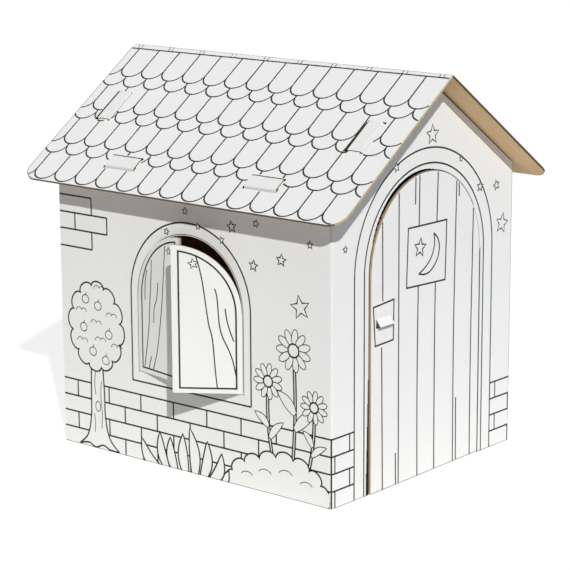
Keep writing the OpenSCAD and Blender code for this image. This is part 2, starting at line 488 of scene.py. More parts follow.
def in_arch(u: float, v: float, radius: float, spring: float) -> bool:
    """Tells whether a point lies within the sides and the round head of an opening."""
    return abs(u) < radius if v < spring else math.hypot(u, v - spring) < radius


def round_fold(past: float, lift: float, card_t: float) -> Point:
    """Follows the outside of a fold in the card.

    Args:
        past: Distance past the start of the fold, along the card's outside.
        lift: Height above the card.
        card_t: Thickness of the card, which is the fold's radius.

    Returns:
        How far on from the start of the fold, and how high above the flat card.
    """
    turn = max(0.0, past) / card_t
    reach = card_t + lift
    return reach * math.sin(turn), reach * math.cos(turn) - card_t


def smooth(points: Path, steps: int = 6) -> Path:
    """Smooth curve through points.

    Args:
        points: Points that the curve passes.
        steps: Straight steps between two points.

    Returns:
        The points of the curve.
    """
    ends = [points[0], *points, points[-1]]
    path = [points[0]]
    for i in range(len(points) - 1):
        a, b, c, d = (Vector(p) for p in ends[i:i + 4])
        for k in range(1, steps + 1):
            t = k / steps
            p = 2 * b + (c - a) * t
            p += (2 * a - 5 * b + 4 * c - d) * t**2
            p += (3 * b - a - 3 * c + d) * t**3
            path.append((p.x / 2, p.y / 2))
    return path


def bumps(points: Path, bulge: float, steps: int = 8) -> Path:
    """Row of round lobes, each from one point to the next and bulging to the right.

    Args:
        points: Points where two lobes meet.
        bulge: Height of a lobe, as a share of its width.
        steps: Straight steps in a lobe.

    Returns:
        The points of the outline.
    """
    path = [points[0]]
    for a, b in zip(points, points[1:]):
        run = (b[0] - a[0], b[1] - a[1])
        for k in range(1, steps + 1):
            turn = math.pi * k / steps
            step = 0.5 - 0.5 * math.cos(turn)
            out = bulge * math.sin(turn)
            path.append((a[0] + run[0] * step + run[1] * out, a[1] + run[1] * step - run[0] * out))
    return path


def star(centre: Point, size: float, turn: float, tip: float = 0.53, notch: float = 0.235) -> Path:
    """Five-pointed star.

    Args:
        centre: Middle of the star.
        size: Width across its points.
        turn: Turn from upright, in degrees.
        tip: Distance of its points from the middle, as a share of its size.
        notch: Distance of its inner corners, as a share of its size.

    Returns:
        Its ten corners.
    """
    path = []
    for i in range(10):
        radius = size * (tip if i % 2 == 0 else notch)
        angle = math.radians(90 + turn + 36 * i)
        path.append((centre[0] + radius * math.cos(angle), centre[1] + radius * math.sin(angle)))
    return path


def spindle(base: Point, tip: Point, width: float, lean: float, steps: int = 10) -> Path:
    """Leaf or blade, pointed at its tip.

    Args:
        base: Where it grows from.
        tip: Its point.
        width: Its width.
        lean: Sideways bow of its middle.
        steps: Straight steps on each side.

    Returns:
        Its outline, from the base round the tip and back.
    """
    run = Vector(tip) - Vector(base)
    side = Vector((-run.y, run.x)).normalized()
    sides = ([], [])
    for i in range(steps + 1):
        t = i / steps
        middle = Vector(base) + run * t + side * lean * math.sin(math.pi * t)
        half = side * width * 0.5 * math.sin(math.pi * min(1.0, 0.12 + 0.88 * t)) ** 0.8
        for path, sign in zip(sides, (1, -1)):
            p = middle + half * sign
            path.append((p.x, p.y))
    return sides[0] + sides[1][-2::-1]


def inside(outline: Path, u: float, v: float) -> bool:
    """Tells whether a point lies inside an outline.

    Args:
        outline: Corners of the outline.
        u: The point's place to the right.
        v: The point's place upward.

    Returns:
        True where it does.
    """
    hit = False
    for (u0, v0), (u1, v1) in zip(outline, outline[1:] + outline[:1]):
        if (v0 > v) != (v1 > v) and u < u0 + (u1 - u0) * (v - v0) / (v1 - v0):
            hit = not hit
    return hit


@dataclass
class Stroke:
    """Printed line along a path, with the number of shapes that lie in front of it."""

    path: Path
    width: float
    closed: bool
    behind: int


@dataclass
class Panel:
    """Flat face of the house that carries print, with u to the right and v upward, in millimetres."""

    name: str
    body: Body
    slot: Slot
    place: Matrix
    sizes: HouseSizes
    edge_paper: Colour = (0.44, 0.34, 0.22)
    edge_hollow: Colour = (0.14, 0.09, 0.05)
    line_width: float = 4.5
    rim_width: float = 1.2
    lift: float = 0.06
    ink_depth: float = 0.09
    trace_step: float = 2.0
    halvings: int = 5
    least_run: float = 1.0
    least_step: float = 0.05
    mitre_limit: float = 0.6
    sharpest_turn: float = 0.3
    strokes: list[Stroke] = field(default_factory=list)
    fronts: list[Path] = field(default_factory=list)

    def holds(self, u: float, v: float) -> bool:
        """Tells whether there is flat card at a point."""
        raise NotImplementedError

    def draw(self) -> None:
        """Draws the print of this face, from front to back."""
        raise NotImplementedError

    def lay(self, point: Vector) -> Vector:
        """Takes a point on the panel, in millimetres, to its place on the house, in metres."""
        return self.place @ (point * MM)

    def edge(self) -> CutEdge:
        """Finish of the card's cut edges round this panel.

        Returns:
            The finish, in line with the panel.
        """
        turn = self.place.to_3x3()
        return CutEdge(
            self.name + "_edge",
            surface_point=self.place.translation,
            inward=-turn.col[2],
            along=turn.col[0],
            card_t=self.sizes.card_t,
            paper=self.edge_paper,
            hollow=self.edge_hollow,
        )

    def line(self, *path: Point, width: float = 0.0, closed: bool = False) -> None:
        """Draws a line behind what was drawn before.

        Args:
            path: Points of the line.
            width: Width of the line, or 0 for the panel's own.
            closed: Whether the line comes back to its start.
        """
        self.strokes.append(Stroke(list(path), width or self.line_width, closed, len(self.fronts)))

    def shape(self, path: Path, width: float = 0.0) -> None:
        """Draws a closed outline that hides what is drawn later.

        Args:
            path: Corners of the outline.
            width: Width of the line, or 0 for the panel's own.
        """
        self.line(*path, width=width, closed=True)
        self.fronts.append(path)

    def foot_line(self, left: float, right: float, height: float = 1.3) -> None:
        """Draws a thin dark line just above the lower edge of the card."""
        self.line((left, height), (right, height), width=self.rim_width)

    def _shown(self, point: Vector, behind: int) -> bool:
        """Tells whether a point is on the card and not hidden by the first shapes."""
        fronts = self.fronts[:behind]
        return self.holds(point.x, point.y) and not any(inside(path, point.x, point.y) for path in fronts)

    def _limit(self, shown: Vector, hidden: Vector, behind: int) -> Vector:
        """Finds where a line ends between a point that shows and one that doesn't.

        Args:
            shown: Point that shows.
            hidden: Point that doesn't.
            behind: Number of shapes in front of the line.

        Returns:
            The last point that shows.
        """
        for _ in range(self.halvings):
            middle = (shown + hidden) / 2
            if self._shown(middle, behind):
                shown = middle
            else:
                hidden = middle
        return shown

    def runs(self, stroke: Stroke) -> list[tuple[list[Vector], bool]]:
        """Cuts a stroke into the runs that show.

        Args:
            stroke: Stroke to cut.

        Returns:
            The points of each run, and whether it is a closed loop.
        """
        corners = [Vector(p) for p in stroke.path]
        ends = corners + corners[:1] if stroke.closed else corners
        made: list[list[Vector]] = []
        before = None
        drawing = False
        for a, b in zip(ends, ends[1:]):
            steps = max(1, math.ceil((b - a).length / self.trace_step))
            for i in range(steps + 1):
                point = a.lerp(b, i / steps)
                shown = self._shown(point, stroke.behind)
                if shown and not drawing:
                    made.append([point if before is None else self._limit(point, before, stroke.behind)])
                if drawing and not shown:
                    made[-1].append(self._limit(before, point, stroke.behind))
                if shown and i == steps:
                    made[-1].append(point)
                drawing = shown
                before = point
        if stroke.closed and len(made) == 1 and len(made[0]) == len(ends):
            return [(corners, True)]
        return [(run, False) for run in made if (run[-1] - run[0]).length > self.least_run or len(run) > 3]

    def sides(self, points: list[Vector], closed: bool, width: float) -> list[tuple[Vector, Vector]]:
        """Left edge of a line, and the step across it, mitred at its corners.

        Args:
            points: Points along the line.
            closed: Whether the line is a loop.
            width: Width of the line.

        Returns:
            A point on the left and the way to the right, for each point.
        """
        clean = [points[0]]
        for p in points[1:]:
            if (p - clean[-1]).length > self.least_step:
                clean.append(p)
        steps = [(b - a).normalized() for a, b in zip(clean, clean[1:])]
        if closed:
            steps.append((clean[0] - clean[-1]).normalized())
        made = []
        for i, p in enumerate(clean):
            back = steps[i - 1] if closed or i > 0 else steps[0]
            on = steps[i] if i < len(steps) else steps[-1]
            across = Vector((-back.y - on.y, back.x + on.x))
            if across.length > self.sharpest_turn:
                across = across / max(self.mitre_limit, across.length_squared / 2)
            else:
                across = Vector((-on.y, on.x))
            made.append((p + across * width / 2, -across * width))
        return made

    def _ribbons(self, bm: bmesh.types.BMesh) -> None:
        """Lays a flat ribbon along every run of every stroke.

        Args:
            bm: Mesh that takes the ribbons.
        """
        across: dict[bmesh.types.BMVert, Vector] = {}
        edges = []
        for stroke in self.strokes:
            for points, closed in self.runs(stroke):
                rail = []
                for left, step in self.sides(points, closed, stroke.width):
                    vert = bm.verts.new((*left, self.lift))
                    across[vert] = Vector((*step, 0.0))
                    rail.append(vert)
                pairs = zip(rail, rail[1:] + rail[:1] if closed else rail[1:])
                edges += [bm.edges.new(pair) for pair in pairs]
        right_sides = bmesh.ops.extrude_edge_only(bm, edges=edges)["geom"]
        for vert in (part for part in right_sides if isinstance(part, bmesh.types.BMVert)):
            source = next(e.other_vert(vert) for e in vert.link_edges if e.other_vert(vert) in across)
            vert.co += across[source]

    def build(self, ink: Material) -> None:
        """Draws the panel's print and makes it as one thin layer of ink.

        Args:
            ink: Material of the ink.
        """
        self.draw()
        bm = bmesh.new()
        self._ribbons(bm)
        top = bmesh.ops.extrude_face_region(bm, geom=bm.faces[:], use_keep_orig=True)["geom"]
        raised = [part for part in top if isinstance(part, bmesh.types.BMVert)]
        bmesh.ops.translate(bm, vec=(0.0, 0.0, self.ink_depth), verts=raised)
        for vert in bm.verts:
            vert.co = self.lay(vert.co)
        bmesh.ops.recalc_face_normals(bm, faces=bm.faces[:])
        piece = put_mesh(self.name + "_print", bm, ink)
        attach(piece, self.body.value)
        log.info("%s: %d strokes, %d faces", piece.name, len(self.strokes), len(piece.data.polygons))


@dataclass
class RoofSlope(Panel):
    """Outer face of one roof slope, printed with rows of round-ended tiles. v is 0 at the apex."""

    edge_paper: Colour = (0.72, 0.57, 0.38)
    edge_hollow: Colour = (0.36, 0.27, 0.16)
    rim_width: float = 1.4
    front: int = 1
    margin: float = 1.5
    ridge_v: float = 0.7
    corner_r: float = 45.0
    rake_inset: float = 2.3
    tile_w: float = 75.4
    tile_u: float = 18.5
    tile_rows: int = 4
    row_h: float = 136.0
    first_row: float = 132.0
    round_h: float = 35.0
    half_row: float = 39.0
    cap_v: float = 17.1
    cap_slant: float = 0.0042
    rim_v: float = 1.8
    tick_u: float = 58.5
    tick_step: float = 114.0
    tick_half_gap: float = 6.5
    tick_bends: tuple[float, ...] = (1.2, 2.4, 3.5, 4.6)
    eave_tab: Box = (183.5, 296.5, 416.5, 471.5)
    gable_tab: Box = (403.7, 458.5, 188.0, 305.0)
    slit_open: Point = (2.5, 8.0)
    slit_head: float = 8.0
    slit_width: float = 2.8

    def lay(self, point: Vector) -> Vector:
        """Takes a point on the slope to its place on the house, round the fold at the ridge.

        Args:
            point: Point on the slope, in millimetres.

        Returns:
            Its place on the house, in metres.
        """
        fold_v = -self.sizes.card_t * math.tan(self.sizes.pitch)
        on, high = round_fold(point.y - fold_v, point.z, self.sizes.card_t)
        return super().lay(Vector((point.x, min(point.y, fold_v) + on, high)))

    def holds(self, u: float, v: float) -> bool:
        """Tells whether there is card at a point, clear of the tabs and the rounded corners.

        Args:
            u: The point's place along the ridge.
            v: The point's place up the slope.

        Returns:
            True where there is.
        """
        wide = abs(u)
        down = -v
        if wide > self.sizes.roof_half_l - self.margin:
            return False
        if not self.ridge_v < down < self.sizes.eave_v - self.margin:
            return False
        u0, u1, v0, v1 = self.eave_tab
        if u0 < wide < u1 and v0 < down < v1:
            return False
        u0, u1, v0, v1 = self.gable_tab
        top, foot = self.slit_open if u * self.front > 0 else (0.0, 0.0)
        if v0 < down < v1 and u0 - top - (foot - top) * (down - v0) / (v1 - v0) < wide < u1:
            return False
        past_u = wide - (self.sizes.roof_half_l - self.corner_r)
        past_v = down - (self.sizes.eave_v - self.corner_r)
        return past_u < 0 or past_v < 0 or math.hypot(past_u, past_v) < self.corner_r - self.margin

    def draw(self) -> None:
        """Draws the ridge cap, the rims and the tiles."""
        self._cap()
        self._rims()
        self._ticks()
        top = self.cap_v
        for row in range(self.tile_rows):
            bottom = self.first_row + self.row_h * row
            self._tiles(self.tile_u, top, bottom)
            top = bottom + self.half_row
            if row < self.tile_rows - 1:
                self._tiles(self.tile_u + self.tile_w / 2, bottom, top)

    def _cap(self) -> None:
        """Draws the lower edge of the ridge cap, which is printed a little askew, and the ridge."""
        end = self.sizes.roof_half_l
        lean = self.cap_slant * end * self.front
        self.line((-end, -self.cap_v - lean), (end, lean - self.cap_v))
        self.line((-end, -self.rim_v), (end, -self.rim_v), width=self.rim_width)

    def _rims(self) -> None:
        """Draws the thin rim line along the back rake, and a dark line of painted shade for the open slit
        beside the front gable's tab.
        """
        end = self.sizes.roof_half_l
        middle = (self.corner_r - end, self.corner_r - self.sizes.eave_v)
        radius = self.corner_r - self.rake_inset
        rake = [(self.rake_inset - end, -self.cap_v), *ellipse(middle, radius, radius, 180.0, 90.0, 12)]
        self.line(*[(u * self.front, v) for u, v in rake], width=self.rim_width)
        # Dark line beside the front gable's tab: painted shade of the open slit.
        u0, _, v0, v1 = self.gable_tab
        top, foot = self.slit_open
        edge = self.front * (u0 - self.slit_width / 2)
        head = (edge - self.front * top, -v0 - self.slit_head)
        self.line(head, (edge - self.front * foot, -v1), width=self.slit_width)

    def _ticks(self) -> None:
        """Draws the pairs of short lines across the ridge cap, bent with the fold."""
        count = math.ceil(self.sizes.roof_half_l / self.tick_step)
        for k in range(-count, count + 1):
            for side in (-self.tick_half_gap, self.tick_half_gap):
                u = self.tick_u + self.tick_step * k + side
                self.line(*[(u, -down) for down in (*self.tick_bends, self.cap_v)], width=2.2)

    def _tiles(self, first: float, top: float, bottom: float) -> None:
        """Draws one row of tiles.

        Args:
            first: Place of one upright joint.
            top: Where the joints begin.
            bottom: How far down the round ends reach.
        """
        straight = bottom - self.round_h
        count = math.ceil(self.sizes.roof_half_l / self.tile_w) + 1
        for k in range(-count, count):
            u = first + self.tile_w * k
            self.line((u, -top), (u, -straight))
            middle = (u + self.tile_w / 2, -straight)
            self.line(*ellipse(middle, self.tile_w / 2, self.round_h, 180.0, 180.0, 18))


@dataclass
class Wall(Panel):
    """Outer face of a wall, printed with stars and with courses of bricks along the floor."""

    lap_gap: float = 0.4
    cut_margin: float = 1.0
    foot: float = 0.5
    courses: int = 4
    course_h: float = 44.7
    brick_l: float = 116.7
    star_turn: float = 12.0
    star_beat: float = 2.3
    large_star: float = 25.0

    def stars(self, *places: Triple) -> None:
        """Draws stars, each turned a little.

        Args:
            places: Place and size of each star.
        """
        for i, (u, v, size) in enumerate(places):
            turn = self.star_turn * math.sin(self.star_beat * i)
            self.shape(star((u, v), size, turn), width=3.6 if size > self.large_star else 2.8)

    def bricks(self, left: float, right: float, *joints: list[float]) -> None:
        """Draws the courses of bricks along the floor.

        Args:
            left: Where the courses begin.
            right: Where they end.
            joints: Places of the upright joints, in odd and in even courses from the top.
        """
        for row in range(self.courses):
            top = self.course_h * (self.courses - row)
            self.line((left, top), (right, top))
            for u in joints[row % 2]:
                self.line((u, top), (u, max(0.0, top - self.course_h)))


@dataclass
class LongWall(Wall):
    """Outer face of a long wall, which turns into the gable at a rounded fold on its right."""

    top: float = 752.0
    joint_u: float = 54.5
    joint_margin: float = 4.0
    corner_lines: Triple = (-1.4, 0.0, 1.4)

    @property
    def left_end(self) -> float:
        """Where the flat wall begins, beside the fold of its lap."""
        return 2 * self.sizes.card_t + self.lap_gap - self.sizes.half_l

    @property
    def fold_u(self) -> float:
        """Where the flat wall ends and the fold begins."""
        return self.sizes.half_l - self.sizes.card_t

    @property
    def fold_end(self) -> float:
        """Where the fold ends, measured round its outside."""
        return self.fold_u + self.sizes.card_t * math.pi / 2

    def lay(self, point: Vector) -> Vector:
        """Takes a point on the wall or round its fold to its place on the house."""
        on, high = round_fold(point.x - self.fold_u, point.z, self.sizes.card_t)
        return super().lay(Vector((min(point.x, self.fold_u) + on, point.y, high)))

    def holds(self, u: float, v: float) -> bool:
        """Tells whether there is card at a point, the fold included."""
        return self.left_end < u < self.fold_end and self.foot < v < self.top

    def draw(self) -> None:
        """Draws the wall's print."""
        self.foot_line(-self.sizes.half_l, self.fold_u)
        self.decorate()
        self._brick_patch()
        self._base_bricks()

    def decorate(self) -> None:
        """Draws the stars of the wall without a window."""
        self.stars((-60.0, 655.0, 30.0), (95.0, 600.0, 22.0), (210.0, 668.0, 24.0), (330.0, 520.0, 50.0))

    def _base_bricks(self) -> None:
        """Draws the bricks along the floor, on over the fold, and the worn line of the corner."""
        far = self.sizes.half_l
        count = int(2 * far / self.brick_l) + 2
        rows = []
        for start in (self.joint_u, self.joint_u + self.brick_l / 2):
            places = [start + self.brick_l * k for k in range(-count, count)]
            rows.append([u for u in places if -far < u < self.fold_u - self.joint_margin])
        self.bricks(-far, self.fold_u, *rows)
        steps = 6
        over_fold = [self.fold_u + (self.fold_end - self.fold_u) * k / steps for k in range(steps + 1)]
        for row in range(self.courses):
            self.line(*[(u, self.course_h * (row + 1)) for u in over_fold])
        middle = (self.fold_u + self.fold_end) / 2
        for offset in self.corner_lines:
            corner = middle + offset
            self.line((corner, 0.0), (corner, self.course_h * self.courses), width=1.5)

    def _brick_patch(self) -> None:
        """Draws the few bare bricks near the top of the wall."""
        far = -self.sizes.half_l
        for z, end in ((683.0, -346.0), (637.0, -290.0), (592.0, -290.0), (545.0, -346.0)):
            self.line((far, z), (end, z))
        for u, low in ((-346.0, 637.0), (-290.0, 592.0), (-408.0, 592.0), (-346.0, 545.0)):
            self.line((u, low), (u, low + 46.0))


@dataclass
class WindowWall(LongWall):
    """Outer face of the long wall with the window, a tree, flowers and grass."""

    window_r: float = 179.0
    sill: float = 243.0
    spring: float = 448.0
    window_margin: float = 2.0
    rim_gap: float = 3.0

    @property
    def left_end(self) -> float:
        """Where the wall is cut off."""
        return self.cut_margin - self.sizes.half_l

    def holds(self, u: float, v: float) -> bool:
        """Tells whether there is card at a point, outside the window.

        Args:
            u: The point's place to the right.
            v: The point's place upward.

        Returns:
            True where there is.
        """
        above_sill = v > self.sill - self.window_margin
        in_window = above_sill and in_arch(u, v, self.window_r + self.window_margin, self.spring)
        return super().holds(u, v) and not in_window

    def decorate(self) -> None:
        """Draws the grass, the flowers, the tree, the stars and the lines round the window."""
        self._grass()
        self._flowers()
        self._tree()
        self.stars(
            (-11.0, 690.0, 20.0), (146.0, 669.0, 30.0), (226.0, 687.0, 20.0), (32.0, 656.0, 18.0),
            (398.0, 656.0, 20.0), (-76.0, 629.0, 18.0), (112.0, 631.0, 18.0), (307.0, 606.0, 30.0),
            (217.0, 580.0, 28.0), (367.0, 496.0, 58.0),
        )
        # Thin dark line just outside the window's cut: painted shade of the cut's gap.
        self.line(*arch(self.window_r + self.rim_gap, self.sill - self.rim_gap, self.spring), width=1.8)
        self.line(*arch(206.0, 215.0, 454.0), closed=True)

    def _grass(self) -> None:
        """Draws a tuft of grass in the middle of the floor line."""
        blades = [
            (-20.0, -30.0, 100.0, 34.0, 6.0), (10.0, -5.0, 120.0, 36.0, -8.0),
            (35.0, 55.0, 95.0, 34.0, -10.0), (62.0, 105.0, 72.0, 34.0, -14.0),
            (-55.0, -75.0, 82.0, 32.0, 8.0), (-82.0, -112.0, 90.0, 30.0, 10.0),
            (-110.0, -178.0, 62.0, 34.0, 16.0), (88.0, 128.0, 32.0, 26.0, -8.0),
            (-140.0, -170.0, 28.0, 24.0, 6.0),
        ]
        for base, tip, height, width, lean in blades:
            self.shape(spindle((base, -14.0), (tip, height), width, lean))

    def _flowers(self) -> None:
        """Draws three daisies over a low bush."""
        daisies = [
            ((262.0, 292.0), 46.0, (284.0, 60.0), 10.0),
            ((345.0, 384.0), 54.0, (338.0, 60.0), -8.0),
            ((410.0, 250.0), 42.0, (382.0, 50.0), -10.0),
        ]
        for head, radius, _, _ in daisies:
            self._daisy(head, radius)
        leaves = [((190.0, 30.0), 40.0), ((250.0, 46.0), 44.0), ((318.0, 56.0), 46.0), ((384.0, 40.0), 42.0)]
        for centre, width in leaves:
            self.line(*ellipse(centre, width / 2, width / 3, 20.0, 140.0, 10), width=2.2)
        bush = [(448.0, -6.0), (432.0, 54.0), (394.0, 84.0), (342.0, 100.0), (286.0, 98.0), (232.0, 84.0),
                (182.0, 68.0), (140.0, 38.0), (128.0, -6.0)]
        self.shape(bumps(bush, 0.34))
        for head, _, foot, bow in daisies:
            self._stem(head, foot, bow)

    def _daisy(self, centre: Point, radius: float) -> None:
        """Draws a daisy's head.

        Args:
            centre: Its middle.
            radius: Its radius.
        """
        petals = 11
        heart = radius * 0.32
        self.shape(ring(centre, heart, heart, 20))
        for i in range(petals):
            angle = math.tau * i / petals + radius
            way = Vector((math.cos(angle), math.sin(angle)))
            middle = Vector(centre) + way * radius * 0.64
            outline = ring((0.0, 0.0), radius * 0.38, radius * 0.185)
            petal = [middle + way * x + Vector((-way.y, way.x)) * y for x, y in outline]
            self.shape([(p.x, p.y) for p in petal], width=2.4)

    def _stem(self, head: Point, foot: Point, bow: float) -> None:
        """Draws a stem with two leaves.

        Args:
            head: Middle of the flower.
            foot: Where the stem leaves the bush.
            bow: Sideways bow of the stem.
        """
        half_width = 3.6
        run = Vector(head) - Vector(foot)
        side = Vector((-run.y, run.x)).normalized()
        middle = [Vector(foot) + run * (k / 8) + side * bow * math.sin(math.pi * k / 8) for k in range(9)]
        for at, way, length in ((4, 1, 0.24), (3, -1, 0.28)):
            base = middle[at]
            tip = base + (side * way * 0.8 + run.normalized() * 0.7).normalized() * run.length * length
            self.shape(spindle(tuple(base), tuple(tip), run.length * 0.09, -4.0 * way), width=2.4)
            self.line(tuple(base.lerp(tip, 0.15)), tuple(base.lerp(tip, 0.75)), width=1.8)
        rails = [[tuple(p + side * offset) for p in middle] for offset in (half_width, -half_width)]
        for rail in rails:
            self.line(*smooth(rail, 3))
        self.fronts.append(rails[0] + rails[1][::-1])

    def _tree(self) -> None:
        """Draws an apple tree."""
        apples = [(-385.0, 330.0), (-330.0, 395.0), (-292.0, 322.0), (-352.0, 268.0), (-305.0, 250.0),
                  (-376.0, 408.0)]
        for u, v in apples:
            self.line((u, v + 11.0), (u + 4.0, v + 19.0), width=2.2)
            self.shape(ring((u, v), 12.5, 11.5), width=2.4)
        leaves = [(-345.0, 345.0), (-400.0, 372.0), (-288.0, 372.0), (-330.0, 300.0), (-398.0, 290.0),
                  (-332.0, 440.0), (-270.0, 290.0)]
        for u, v in leaves:
            self.line(*bumps([(u + 26.0, v), (u + 8.0, v + 4.0), (u - 12.0, v)], 0.42, 6), width=2.0)
        crown = ellipse((-338.0, 338.0), 88.0, 112.0, -260.0, 360.0, 12)
        self.shape(bumps(crown, 0.34)[:-1])
        self.line(*ring((-338.0, 118.0), 9.0, 14.0), width=2.4, closed=True)
        grain = [
            [(-352.0, 44.0), (-349.0, 74.0), (-353.0, 96.0)],
            [(-326.0, 58.0), (-323.0, 100.0), (-327.0, 150.0), (-324.0, 190.0)],
            [(-346.0, 150.0), (-349.0, 180.0), (-345.0, 214.0)],
        ]
        for streak in grain:
            self.line(*smooth(streak), width=2.2)
        left = smooth([(-360.0, 240.0), (-362.0, 160.0), (-364.0, 90.0), (-378.0, 34.0), (-410.0, 3.0)])
        foot = smooth([(-410.0, 3.0), (-376.0, 11.0), (-350.0, 2.0), (-322.0, 12.0), (-296.0, 4.0),
                       (-262.0, 3.0)])
        right = smooth([(-262.0, 3.0), (-296.0, 34.0), (-311.0, 90.0), (-313.0, 160.0), (-318.0, 240.0)])
        for side in (left, foot, right):
            self.line(*side)
        self.fronts.append(left + foot[1:] + right[1:])


@dataclass
class Gable(Wall):
    """Outer face of a gable, from its fold on the left to the lapped corner on its right."""

    star_turn: float = 14.0
    star_beat: float = 1.9
    corner_z: float = 763.0
    peak_z: float = 1021.0
    under_roof: float = 3.0
    fold_overlap: float = 0.1

    @property
    def right_end(self) -> float:
        """Where the flat gable ends, beside the fold of its lap."""
        return self.sizes.half_w - 2 * self.sizes.card_t - self.lap_gap

    def holds(self, u: float, v: float) -> bool:
        """Tells whether there is flat card at a point.

        Args:
            u: The point's place to the right.
            v: The point's place upward.

        Returns:
            True where there is.
        """
        left = -self.sizes.half_w + self.sizes.card_t - self.fold_overlap
        rise = (self.peak_z - self.corner_z) * (1 - abs(u) / self.sizes.half_w)
        return left < u < self.right_end and self.foot < v < self.corner_z + rise - self.under_roof

    def draw(self) -> None:
        """Draws the print of the gable without a door."""
        half_w = self.sizes.half_w
        self.foot_line(-half_w, half_w)
        self.stars((0.0, 880.0, 50.0), (-150.0, 760.0, 26.0), (160.0, 735.0, 30.0), (40.0, 650.0, 22.0))
        joints = [-309.0 + self.brick_l * k for k in range(6)]
        self.bricks(-half_w, half_w, joints, [u - 58.0 for u in joints])


@dataclass
class FrontGable(Gable):
    """Outer face of the front gable, round the doorway."""

    door_r: float = 235.0
    spring: float = 558.0
    crease_gap: float = 1.9
    head_gap: float = 1.2
    head_arc: Point = (30.0, 50.0)
    corner_gap: float = 0.8
    border_reach: float = 2.0
    surround_radii: Point = (252.0, 291.0)
    surround_spring: float = 560.0

    @property
    def right_end(self) -> float:
        """Where the gable is cut off."""
        return self.sizes.half_w - self.cut_margin

    def holds(self, u: float, v: float) -> bool:
        """Tells whether there is flat card at a point, outside the doorway."""
        return super().holds(u, v) and not in_arch(u, v, self.door_r, self.spring)

    def borders_door(self, u: float, v: float) -> bool:
        """Tells whether a cut face at a point is the head or the hinge side of the doorway."""
        reach = u if v < self.spring else math.hypot(u, v - self.spring)
        return abs(reach - self.door_r) < self.border_reach

    def draw(self) -> None:
        """Draws the stars, dark lines of painted shade in the door's crease and beside the upper right of its
        head, the lines round the doorway and the bricks beside it.
        """
        self.stars(
            (23.0, 882.0, 50.0), (-125.0, 818.0, 24.0), (147.0, 805.0, 17.0), (233.0, 720.0, 27.0),
            (307.0, 713.0, 27.0), (-327.0, 645.0, 18.0), (335.0, 607.0, 53.0),
        )
        half_w = self.sizes.half_w
        self.foot_line(-half_w, half_w)
        corner = self.right_end - self.corner_gap
        self.line((corner, 0.0), (corner, self.peak_z), width=0.9)
        # Dark lines of painted shade: down the door's crease and beside the upper right of its head.
        crease = self.door_r + self.crease_gap
        self.line((crease, 0.0), (crease, self.spring), width=3.0)
        head = self.door_r + self.head_gap
        self.line(*ellipse((0.0, self.spring), head, head, *self.head_arc, 20), width=1.6)
        for radius in self.surround_radii:
            self.line(*arch(radius, 0.0, self.surround_spring))
        outer = max(self.surround_radii)
        self.bricks(-half_w, -outer, [-309.0], [-367.0])
        self.bricks(outer + 2.0, half_w, [315.0], [376.0])


@dataclass
class DoorGapShade(FrontGable):
    """Painted shade on the gable: dark bands along the doorway's cut, at the left of its head and at its
    foot, where the dark inside of the house would show past the door.
    """

    cut_gap: float = 0.4
    head: Point = (76.0, 162.0)
    head_width: float = 9.5
    head_steps: int = 24
    foot_width: float = 8.0
    foot_taper: float = 1.5
    foot_steps: int = 5
    foot_step_h: float = 60.0

    def draw(self) -> None:
        """Draws the painted shade at the head, widest in its middle, and the one at the foot, widest at the
        floor.
        """
        cut = self.door_r + self.cut_gap
        low, high = self.head
        sweep = (high - low) / self.head_steps
        for step in range(1, self.head_steps - 1):
            width = self.head_width * math.sin(math.pi * (step + 0.5) / self.head_steps)
            radius = cut + width / 2
            self.line(*ellipse((0.0, self.spring), radius, radius, low + sweep * step, sweep, 3), width=width)
        for step in range(self.foot_steps):
            width = self.foot_width - self.foot_taper * step
            middle = -cut - width / 2
            base = self.foot_step_h * step
            self.line((middle, base), (middle, base + self.foot_step_h), width=width)


